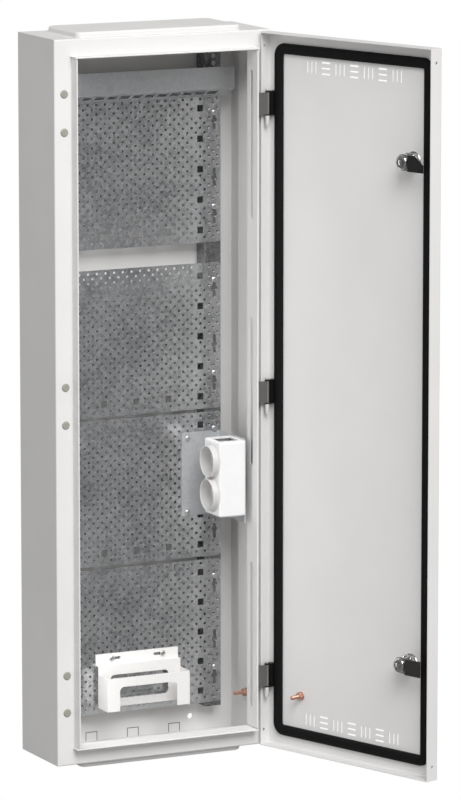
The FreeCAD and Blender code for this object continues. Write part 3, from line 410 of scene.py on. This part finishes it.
def share_out(tree, shader, place, share, inner, outer):
    """Set colour, roughness and metallic: the inner three at share 0, the outer at 1."""
    mottle = ramp(tree, noise(tree, place, 120.0, 3.0), [(0.3, grey(0.9)), (0.7, grey(1.0))])
    colour = blend_colours(tree, share, inner[0], outer[0])
    worn = blend_colours(tree, 1.0, colour, mottle, "MULTIPLY")
    tree.links.new(worn, shader.inputs["Base Color"])
    for key, first, second in (("Roughness", inner[1], outer[1]), ("Metallic", inner[2], outer[2])):
        level = blend_colours(tree, share, grey(first), grey(second))
        tree.links.new(level, shader.inputs[key])
    bump(tree, shader, noise(tree, place, 900.0, 2.0), 0.00004, 0.5)


def highlight_round_axis(name, point, drop, radius, inner, outer):
    """A painted highlight inside a radius in metres and a plain finish outside, each (colour,
    roughness, metallic).
    """
    material, tree, shader, place = start_material(name)
    share = reckon(tree, "GREATER_THAN", distance_from(tree, place, point, drop), radius)
    share_out(tree, shader, place, share, inner, outer)
    return material


HUB_REACH = 0.0108


def cam_highlight_and_shade(name, point, hub, tongue):
    """A painted highlight on the hub up to HUB_REACH from the spindle, measured in the plane of the
    door, and painted shade beyond it.
    """
    material, tree, shader, place = start_material(name)
    along = tree.nodes.new("ShaderNodeVectorMath")
    along.operation = "DOT_PRODUCT"
    along.inputs[1].default_value = (-math.cos(DOOR_OPEN), -math.sin(DOOR_OPEN), 0.0)
    tree.links.new(offset_from(tree, place, point), along.inputs[0])
    share = reckon(tree, "GREATER_THAN", along.outputs["Value"], HUB_REACH)
    share_out(tree, shader, place, share, hub, tongue)
    return material


BARREL_R = 0.0031
hinge_line = (HINGE[0] * MM, HINGE[1] * MM, 0.0)
# The barrel is painted brighter and shinier than the block: a painted highlight along the barrel.
barrel_highlight_of = (grey(0.34), 0.35, 0.6)
block_of = (grey(0.13, 0.02), 0.5, 0.3)
hinge_barrel_highlight = highlight_round_axis("hinge_casting_barrel_highlight", hinge_line, 2, BARREL_R, barrel_highlight_of, block_of)
dress(hinge_barrel_highlight, "upper_hinge_block", "middle_hinge_block", "lower_hinge_block")

# %% [markdown]
# ## Perforated plates
# A press punches rows of small holes, each row shifted by half a step, so
# that a cable tie can be threaded anywhere. Square windows take clip nuts
# and keyholes hang the plate on its screws. Every outline is a loop of
# points; one call fills the area between the loops with triangles.

# %% Outlines of one plate
PLATE_X = 129.8
PLATE_H = 205.0
PLATE_FRONT = -30.3
PLATE_BACK = -28.8
PLATE_TOPS = (403.0, 169.5, -40.0, -249.5)
WINDOW = 4.5
WINDOW_X = 49.3 * np.arange(-2, 3)
WINDOW_Z = -(17.7 + 42.4 * np.arange(5))
KEY_X = 120.0
KEY_Z = (-36.0, -115.0, -167.0)
KEY_HALF, KEY_ENTRY, KEY_REACH = 2.2, 4.1, 11.55
HOLE_R = 1.9


def arc(x, z, radius, start, end, count):
    """Points on a circle from one angle to another."""
    a = np.linspace(start, end, count)
    return np.stack([x + radius * np.cos(a), z + radius * np.sin(a)], axis=-1)


def plate_outline():
    """A rectangle with round corners, its top edge at z = 0."""
    r = 5.0
    x, z = PLATE_X - r, r - PLATE_H
    corners = [(x, -r, 0), (-x, -r, 1), (-x, z, 2), (x, z, 3)]
    turns = [arc(x, z, r, k * math.pi / 2, (k + 1) * math.pi / 2, 7) for x, z, k in corners]
    return np.vstack(turns)


def keyhole(x, z):
    """An upright slot with a round entry half way, as one loop."""
    meet = math.asin(KEY_HALF / KEY_ENTRY)
    quarter = math.pi / 2
    loop = [
        arc(x, z + KEY_REACH, KEY_HALF, 0, 2 * quarter, 7),
        arc(x, z, KEY_ENTRY, quarter + meet, 3 * quarter - meet, 9),
        arc(x, z - KEY_REACH, KEY_HALF, 2 * quarter, 4 * quarter, 7),
        arc(x, z, KEY_ENTRY, meet - quarter, quarter - meet, 9),
    ]
    return np.vstack(loop)


def window(x, z):
    """A square hole as one loop."""
    half = np.array([[-1, -1], [1, -1], [1, 1], [-1, 1]]) * WINDOW
    return half + np.array([x, z])


# %% [markdown]
# ## A field of holes
# The press advances half a step between rows. A hole is left out where it
# would cut into a window, a keyhole or the rim, as the real tool skips it.

# %% Where the small holes go
windows = [(x, z) for x in WINDOW_X[[0, -1]] for z in WINDOW_Z]
windows += [(x, WINDOW_Z[-1]) for x in WINDOW_X[1:-1]]
keyholes = [(side * KEY_X, z) for side in (-1, 1) for z in KEY_Z]
STEP_X = 2 * WINDOW_X[-1] / 15
STEP_Z = 13.25
FIRST_ROW = 5.1
col, row = np.meshgrid(np.arange(-2, 18), np.arange(30))
hole_x = WINDOW_X[0] + STEP_X * (col + 0.5 * (row % 2))
hole_z = -(FIRST_ROW + STEP_Z / 2 * row)
spots = np.stack([hole_x.ravel(), hole_z.ravel()], axis=-1)
edge = HOLE_R + 1.4
free = (np.abs(spots[:, 0]) < PLATE_X - edge) & (spots[:, 1] > edge - PLATE_H)
for x, z in windows:
    gap = np.abs(spots - np.array([x, z])).max(axis=1)
    free &= gap > WINDOW + HOLE_R + 0.9
for x, z in keyholes:
    off = np.abs(spots - np.array([x, z]))
    free &= (off[:, 0] > KEY_ENTRY + HOLE_R + 0.4) | (off[:, 1] > KEY_REACH + KEY_HALF + HOLE_R + 0.6)
spots = spots[free]
print(len(spots), "small holes in a plate")

# %% [markdown]
# ## From outlines to a plate
# The small holes are drawn with eight sides, which is round enough at this
# size. The filled sheet is used twice, for the front and for the back, and
# every edge with a face on one side only gets a wall between the two.

# %% Fill one plate and copy it
eighths = np.arange(8) * math.pi / 4 + math.pi / 8
ring = HOLE_R * np.stack([np.cos(eighths), np.sin(eighths)], axis=-1)
loops = [plate_outline()]
loops += [keyhole(x, z) for x, z in keyholes]
loops += [window(x, z) for x, z in windows]
loops += list(spots[:, None, :] + ring[None, :, :])
flat = np.vstack(loops)
counts = [len(loop) for loop in loops]
starts = np.concatenate([[0], np.cumsum(counts)[:-1]])
rings = [list(range(start, start + count)) for start, count in zip(starts, counts)]
filled = delaunay_2d_cdt([Vector(p) for p in flat.tolist()], [], rings, 1, 0.0001)
spread = np.array([list(p) for p in filled[0]])
sheet = np.array([face for face, origin in zip(filled[2], filled[5]) if origin == [0]])
print(len(sheet), "triangles on one side of a plate")


def edges_used_once(triangles, count):
    """Border edges: those with no partner that runs the other way."""
    pairs = np.vstack([triangles[:, [0, 1]], triangles[:, [1, 2]], triangles[:, [2, 0]]])
    ahead = pairs[:, 0] * count + pairs[:, 1]
    behind = pairs[:, 1] * count + pairs[:, 0]
    return pairs[~np.isin(ahead, behind)]


rim = edges_used_once(sheet, len(spread))
total = len(spread)
walls = np.stack([rim[:, 1], rim[:, 0], rim[:, 0] + total, rim[:, 1] + total], axis=-1)
plate_faces = sheet.tolist() + (sheet[:, ::-1] + total).tolist() + walls.tolist()
plate_zinc = galvanised("plate_zinc", 0.42, 0.76, 0.95, 0.16)
for number, top in enumerate(PLATE_TOPS):
    near = np.stack([spread[:, 0], 0 * spread[:, 0] + PLATE_FRONT, spread[:, 1] + top], axis=-1)
    far = near + np.array([0, PLATE_BACK - PLATE_FRONT, 0])
    node = "mounting_plate_%d" % (number + 1)
    name = "perforated_%d" % (number + 1)
    make_piece(name, np.vstack([near, far]), plate_faces, plate_zinc, "cabinet", "zinc", node)

# %% [markdown]
# ## Screws
# A pan-head screw is a turned part. Its cross recess is pressed in: wherever
# a point of the dome lies inside one of two crossed bars, it is pushed down.


# %% Pan-head screws
def cross_recess(r, h, a):
    """Lower the dome inside two crossed bars, with soft edges."""
    u, v = np.abs(r * np.cos(a)), np.abs(r * np.sin(a))
    along, across = np.maximum(u, v), np.minimum(u, v)
    inside = np.clip((0.75 - across) / 0.3, 0, 1) * np.clip((2.3 - along) / 0.5, 0, 1)
    return r, h - np.where(h > 1.0, 1.3 * inside, 0)


def pan_screw(grip):
    """Shank, flat underside, side and dome, from the tip upwards."""
    ring_r = np.concatenate([[3.9, 3.75], np.linspace(3.5, 0.25, 14)])
    dome = 1.25 + 1.33 * np.sqrt(1 - (ring_r / 3.92) ** 2)
    profile = [(1.2, -grip - 4.0), (2.0, -grip - 3.2), (2.0, 0.0), (3.8, 0.0), (3.9, 0.15)]
    return turned(profile + list(zip(ring_r, dome)), 40, cross_recess)


heights = [top + z + KEY_REACH for top in PLATE_TOPS for z in (KEY_Z[0], KEY_Z[2])]
plate_spots = [(side * KEY_X, PLATE_FRONT, z) for z in heights for side in (-1, 1)]
TRAY_FACE, BRACKET_FACE, HOLDER_FACE = -31.8, -32.3, -31.8
screw_sets = {
    "plate_screws": (3.0, plate_spots),
    "tray_screws": (4.5, [(-KEY_X, TRAY_FACE, 425.0), (KEY_X, TRAY_FACE, 425.0)]),
    "bracket_screws": (3.5, [(78.0, BRACKET_FACE, z) for z in (-75.5, -180.0)]),
    "holder_screws": (3.0, [(x, HOLDER_FACE, -377.0) for x in (-39.5, 38.5)]),
}
for node, (grip, places) in screw_sets.items():
    shape = pan_screw(grip)
    parts = [closed_grid(stand(shape, place, (0, -1, 0))) for place in places]
    points, faces = join(parts)
    make_piece("turned_" + node, points, faces, bright_zinc, "cabinet", "bright_zinc", node)

# %% [markdown]
# ## Socket cups
# Each round socket is a moulded cup. Its collar runs into the face with a
# hollow curve, which the profile follows from the back, over the rim and
# down to the floor inside. Black discs on that floor are painted shade
# standing in for the two pin holes.

# %% Socket cups
curve = np.linspace(0, math.pi / 2, 7)
cup = [(2.0, -10.4), (22.4, -10.4), (22.4, 0.05)]
cup += [(24.6 - 2.3 * math.sin(b), 0.1 + 3.4 * (1 - math.cos(b))) for b in curve]
cup += [(22.2, 7.7), (21.9, 8.3), (21.5, 8.5), (21.1, 8.4), (20.8, 8.0)]
cup += [(20.5, -5.5), (19.9, -8.2), (18.0, -9.0), (2.0, -9.0)]
# Profile of a thin black disc: painted shade in place of a pin hole.
hole_shade_disc = [(2.4, -9.5), (2.5, -8.95), (2.3, -8.9)]
SOCKET_X, SOCKET_Y, SOCKET_Z = 87.0, -91.0, (-98.45, -145.05)
PIN_SHIFT = 9.5
to_the_left = (-1, 0, 0)
cups, hole_shades = [], []
for z in SOCKET_Z:
    cups.append(closed_grid(stand(turned(cup, 64), (SOCKET_X, SOCKET_Y, z), to_the_left)))
    for y in (SOCKET_Y - PIN_SHIFT, SOCKET_Y + PIN_SHIFT):
        hole_shades.append(closed_grid(stand(turned(hole_shade_disc, 20), (SOCKET_X, y, z), to_the_left)))
make_piece("moulded_cups", *join(cups), cup_plastic, "cabinet", "white_plastic", "socket_cups")
# Black discs painted as the shade inside the pin holes; no holes are cut.
make_piece("pin_hole_shade_discs", *join(hole_shades), black, "cabinet", "black", None)

# %% [markdown]
# ## Earth studs
# A copper-plated bolt is welded to the sheet, with a washer and a nut. The
# thread is a ridge that climbs one pitch in one turn, so the radius depends
# on height less angle. A hexagon is a radius that grows towards six corners.


# %% Threads and hexagons
def thread(pitch, depth, low, high):
    """A rule that cuts a helical groove between two heights."""
    def rule(r, h, a):
        wave = 0.5 + 0.5 * np.cos(2 * math.pi * h / pitch - a)
        cut = np.where((h > low) & (h < high), depth * wave, 0)
        return r - cut, h
    return rule


def hexagon(across):
    """A rule that keeps a point inside six flats and inside the profile."""
    def rule(r, h, a):
        turn = np.mod(a, math.pi / 3) - math.pi / 6
        return np.minimum(r, across / 2 / np.cos(turn)), h
    return rule


def earth_stud():
    """Bolt, washer and nut on one axis, the sheet at height 0."""
    top = 19.3
    bolt = [(2.95, h) for h in np.arange(0.0, top, 0.125)] + [(2.4, 19.7), (1.6, 20.0)]
    washer = [(5.8, 0.0), (6.0, 0.2), (6.0, 1.0), (5.8, 1.2)]
    nut = [(4.9, 1.2), (5.77, 1.6), (5.77, 5.7), (4.9, 6.2)]
    threaded = turned(bolt, 28, thread(1.0, 0.35, 6.5, top))
    return [threaded, turned(washer, 32), turned(nut, 48, hexagon(10.0))]


studs = {
    "cabinet_earth_stud": ("cabinet", (161.0, -50.0, -441.0), (-1, 0, 0)),
    "door_earth_stud": ("door", (96.0, -141.9, -422.5), (0, 1, 0)),
}
for node, (body, place, axis) in studs.items():
    parts = [closed_grid(stand(shape, place, axis)) for shape in earth_stud()]
    points, faces = join(parts)
    if body == "door":
        points = swung(points)
    make_piece("threaded_" + node, points, faces, copper, body, "copper", node)

# %% [markdown]
# ## Foam seal
# The seal is poured as a bead of polyurethane that foams up in place. Its
# cross-section is a low loaf, a little dented along the middle, swept round
# a rectangle with round corners.

# %% Foam seal
SEAL_X, SEAL_Z, SEAL_W, SEAL_H, SEAL_R = 146.2, 483.0, 14.5, 5.4, 17.0
SEAL_Y = -141.9
s = np.linspace(0, math.pi, 19)
across = -np.cos(s)
loaf = SEAL_H * np.clip(np.sin(s), 0, 1) ** 0.3
loaf = loaf - 0.55 * np.exp(-(across / 0.28) ** 2)
across = np.concatenate([across, [0.6, 0.0, -0.6]])
loaf = np.concatenate([loaf, [0.0, 0.0, 0.0]])
mid_x, mid_z, mid_r = SEAL_X - SEAL_W / 2, SEAL_Z - SEAL_W / 2, SEAL_R - SEAL_W / 2
spine, outward = [], []
for x, z, k in ((1, 1, 0), (-1, 1, 1), (-1, -1, 2), (1, -1, 3)):
    a = np.linspace(k * math.pi / 2, (k + 1) * math.pi / 2, 13)
    way = np.stack([np.cos(a), np.sin(a)], axis=-1)
    outward.append(way)
    spine.append(np.array([x * (mid_x - mid_r), z * (mid_z - mid_r)]) + mid_r * way)
spine, outward = np.vstack(spine), np.vstack(outward)
ring = spine[:, None, :] + outward[:, None, :] * (SEAL_W / 2 * across)[None, :, None]
seal = np.stack([ring[..., 0], SEAL_Y + loaf[None, :] + 0 * ring[..., 0], ring[..., 1]], axis=-1)
rows, cols = seal.shape[:2]
quads = grid_faces(rows, cols, True).tolist()
last = (rows - 1) * cols
quads += [[last + i, last + (i + 1) % cols, (i + 1) % cols, i] for i in range(cols)]
make_piece("poured_seal", swung(seal.reshape(-1, 3)), quads, foam, "door", "seal", "door_seal", 60.0)

# %% [markdown]
# ## Hinge pins
# A pin with a rounded head drops through each hinge, and a tapered plastic
# tip below keeps it in. Taking the tips off frees the door.

# %% Hinge pins and tips
HINGE_Z = (400.0, 0.0, -400.0)
bend = np.linspace(0, math.pi / 2, 7)
head = [(2.0 + 0.6 * math.cos(b), 18.0 + 1.0 * math.sin(b)) for b in bend] + [(1.0, 19.0)]
pin = [(1.2, -17.0), (1.5, -16.7), (1.5, 17.0), (2.3, 17.0), (2.6, 17.3)] + head
tip = [(1.6, -31.0), (2.5, -30.8), (2.8, -30.2), (3.1, -20.0)]
tip += [(3.2, -18.2), (3.2, -17.3), (2.6, -17.0)]
up = (0, 0, 1)
for name, profile, node, finish, slot in (
    ("turned_pins", pin, "hinge_pins", bright_zinc, "bright_zinc"),
    ("moulded_tips", tip, "hinge_pin_tips", tip_plastic, "tip"),
):
    parts = [closed_grid(stand(turned(profile, 32), (*HINGE, z), up)) for z in HINGE_Z]
    points, faces = join(parts)
    make_piece(name, points, faces, finish, "cabinet", slot, node)

# %% [markdown]
# ## Locks
# A quarter-turn lock is a threaded chrome barrel with a head outside, a big
# hexagon nut inside and a domed nut that holds the cam on its square end.

# %% Locks
LOCK_X, LOCK_Z = -111.0, 343.0
FACE_Y, INNER_Y, NUT_Y = -143.1, -141.9, -119.5
END = 20.8
turns = np.arange(7.6, END - 0.6, 0.25)
barrel = [(4.8, 2.0), (5.0, -2.6), (5.3, -3.0), (10.4, -3.0)]
barrel += [(11.0, -2.4), (11.0, -0.2), (10.8, 0.0)]
barrel += [(8.9, 0.0), (8.9, 7.4)] + [(8.9, h) for h in turns] + [(8.9, END - 0.5), (8.4, END)]
flange = [(12.9, 1.2), (13.0, 1.5), (13.0, 2.0), (12.7, 2.3)]
nut = [(11.2, 2.3), (12.9, 2.9), (12.9, 10.6), (11.2, 11.4)]
dome = [(9.8, 0.0), (10.0, 0.2), (10.0, 1.6)]
dome += [(10.0 - 3.6 * (1 - math.cos(b)), 1.6 + 2.9 * math.sin(b)) for b in np.linspace(0.1, 1.4, 9)]
dome += [(5.4, 4.5), (5.1, 3.3), (4.4, 3.3), (4.3, 4.8), (3.9, 5.0)]
for name, side in (("upper", 1), ("lower", -1)):
    threaded = turned(barrel, 40, thread(1.5, 0.5, 7.5, END - 0.6))
    shapes = [threaded, turned(flange, 40), turned(nut, 48, hexagon(22.4))]
    place = (LOCK_X, FACE_Y, side * LOCK_Z)
    points, faces = join([closed_grid(stand(shape, place, (0, 1, 0))) for shape in shapes])
    make_piece(name + "_barrel", swung(points), faces, chrome, "door", "chrome", name + "_lock_body")
    place = (LOCK_X, NUT_Y, side * LOCK_Z)
    points, faces = closed_grid(stand(turned(dome, 40), place, (0, 1, 0)))
    body, node = name + "_lock", name + "_cam_nut"
    make_piece(name + "_domed_nut", swung(points), faces, chrome, body, "chrome", node)

# %% [markdown]
# ## Cams
# Each cam is a tongue with a hub, where the spindle and its nut hold it. The
# hub is painted bright as a painted highlight, and the tongue is painted
# black as painted shade.

# %% Cams
spindle = swung(np.array([[LOCK_X, INNER_Y, LOCK_Z]]))[0] * MM
# Painted highlight on the hub.
hub_highlight_of = (grey(0.5), 0.25, 0.9)
# Painted shade on the tongues; the lower tongue is painted a little lighter and warmer than the upper
# one, also as painted light.
for name, side, tongue in (("upper", 1, grey(0.006, 0.04)), ("lower", -1, grey(0.022, 0.14))):
    corner = (spindle[0], spindle[1], side * spindle[2])
    finish = cam_highlight_and_shade(name + "_cam_highlight_and_shade", corner, hub_highlight_of, (tongue, 0.35, 0.0))
    dress(finish, name + "_lock_cam")

# %% [markdown]
# ## Camera
# The camera was found from the corners of the box in the photograph: it
# stands about seven and a half metres away, a little above the middle.

# %% Camera
camera = bpy.data.objects.new("camera", bpy.data.cameras.new("camera"))
bpy.context.collection.objects.link(camera)
camera.data.lens = 247.08
camera.data.sensor_width = 36.0
camera.data.clip_end = 50.0
camera.location = (-3.1873, -6.8056, 1.2683)
view = Vector((0.43502, 0.88442, -0.16902))
camera.rotation_euler = view.to_track_quat("-Z", "Y").to_euler()
bpy.context.scene.camera = camera

# %% [markdown]
# ## The room
# The camera sees a white backdrop. Other rays meet an even, dim light, and
# mirrored rays a dimmer one still, so that bare zinc keeps its contrast.

# %% Room
scene = bpy.context.scene
scene.view_settings.view_transform = "Standard"
world = bpy.data.worlds.new("room")
scene.world = world
world.use_nodes = True
tree = world.node_tree
tree.nodes.clear()
output = tree.nodes.new("ShaderNodeOutputWorld")
mix = tree.nodes.new("ShaderNodeMixShader")
path = tree.nodes.new("ShaderNodeLightPath")
ambient = tree.nodes.new("ShaderNodeBackground")
ambient.inputs["Color"].default_value = (1.0, 1.0, 1.0, 1.0)
seen = tree.nodes.new("ShaderNodeBackground")
seen.inputs["Color"].default_value = (1.0, 1.0, 1.0, 1.0)
seen.inputs["Strength"].default_value = 1.0
tree.links.new(path.outputs["Is Camera Ray"], mix.inputs["Fac"])
tree.links.new(ambient.outputs["Background"], mix.inputs[1])
tree.links.new(seen.outputs["Background"], mix.inputs[2])
AMBIENT, LESS_IN_MIRRORS = 0.45, 0.19
mirrored = reckon(tree, "MULTIPLY", path.outputs["Is Glossy Ray"], -LESS_IN_MIRRORS)
tree.links.new(reckon(tree, "ADD", mirrored, AMBIENT), ambient.inputs["Strength"])
tree.links.new(mix.outputs["Shader"], output.inputs["Surface"])


# %% [markdown]
# ## Lamps
# A large square lamp, high and a little to the left, gives soft edges to the
# shadows, as in a product studio. The strip is nearly as tall as the box and
# stands for the light that the left wall throws on the right one.

# %% Lamps
def area_light(name, place, target, size, power):
    """A square soft light that faces a target."""
    data = bpy.data.lights.new(name, "AREA")
    data.size = size
    data.energy = power
    lamp = bpy.data.objects.new(name, data)
    bpy.context.collection.objects.link(lamp)
    lamp.location = place
    aim = Vector(target) - Vector(place)
    lamp.rotation_euler = aim.to_track_quat("-Z", "Y").to_euler()
    return lamp


KEY_PLACE, KEY_SIZE, KEY_WATTS = (-1.12, -6.08, 5.28), 4.8, 605.0
STRIP_PLACE, STRIP_AIM, STRIP_WATTS = (-0.13, -0.09, 0.0), (0.13, -0.09, 0.0), 0.4
area_light("key", KEY_PLACE, (0, 0, 0), KEY_SIZE, KEY_WATTS)
strip = area_light("strip", STRIP_PLACE, STRIP_AIM, 0.9, STRIP_WATTS)
strip.data.shape = "RECTANGLE"
strip.data.size_y = 0.02
strip.rotation_euler = (0, -math.pi / 2, 0)

# %% [markdown]
# ## Floor
# The floor looks white from the camera, like the paper roll of a studio, but
# throws back less than half of the light, and less still into mirrors, so
# that the zinc stays darker than the paint.

# %% Floor
FLOOR_Z = -0.53
bpy.ops.mesh.primitive_plane_add(size=30.0, location=(0, 0, FLOOR_Z))
floor = bpy.context.object
floor.name = "floor"
floor_paint, tree, shader, place = start_material("floor_paint")
shader.inputs["Roughness"].default_value = 0.9
path = tree.nodes.new("ShaderNodeLightPath")
FLOOR_LEVEL, FLOOR_LESS = 0.42, 0.24
mirrored = reckon(tree, "MULTIPLY", path.outputs["Is Glossy Ray"], -FLOOR_LESS)
tree.links.new(reckon(tree, "ADD", mirrored, FLOOR_LEVEL), shader.inputs["Base Color"])
glow = tree.nodes.new("ShaderNodeEmission")
glow.inputs["Color"].default_value = (1.0, 1.0, 1.0, 1.0)
mix = tree.nodes.new("ShaderNodeMixShader")
tree.links.new(path.outputs["Is Camera Ray"], mix.inputs["Fac"])
tree.links.new(shader.outputs["BSDF"], mix.inputs[1])
tree.links.new(glow.outputs["Emission"], mix.inputs[2])
tree.links.new(mix.outputs["Shader"], tree.nodes["Material Output"].inputs["Surface"])
floor.data.materials.append(floor_paint)
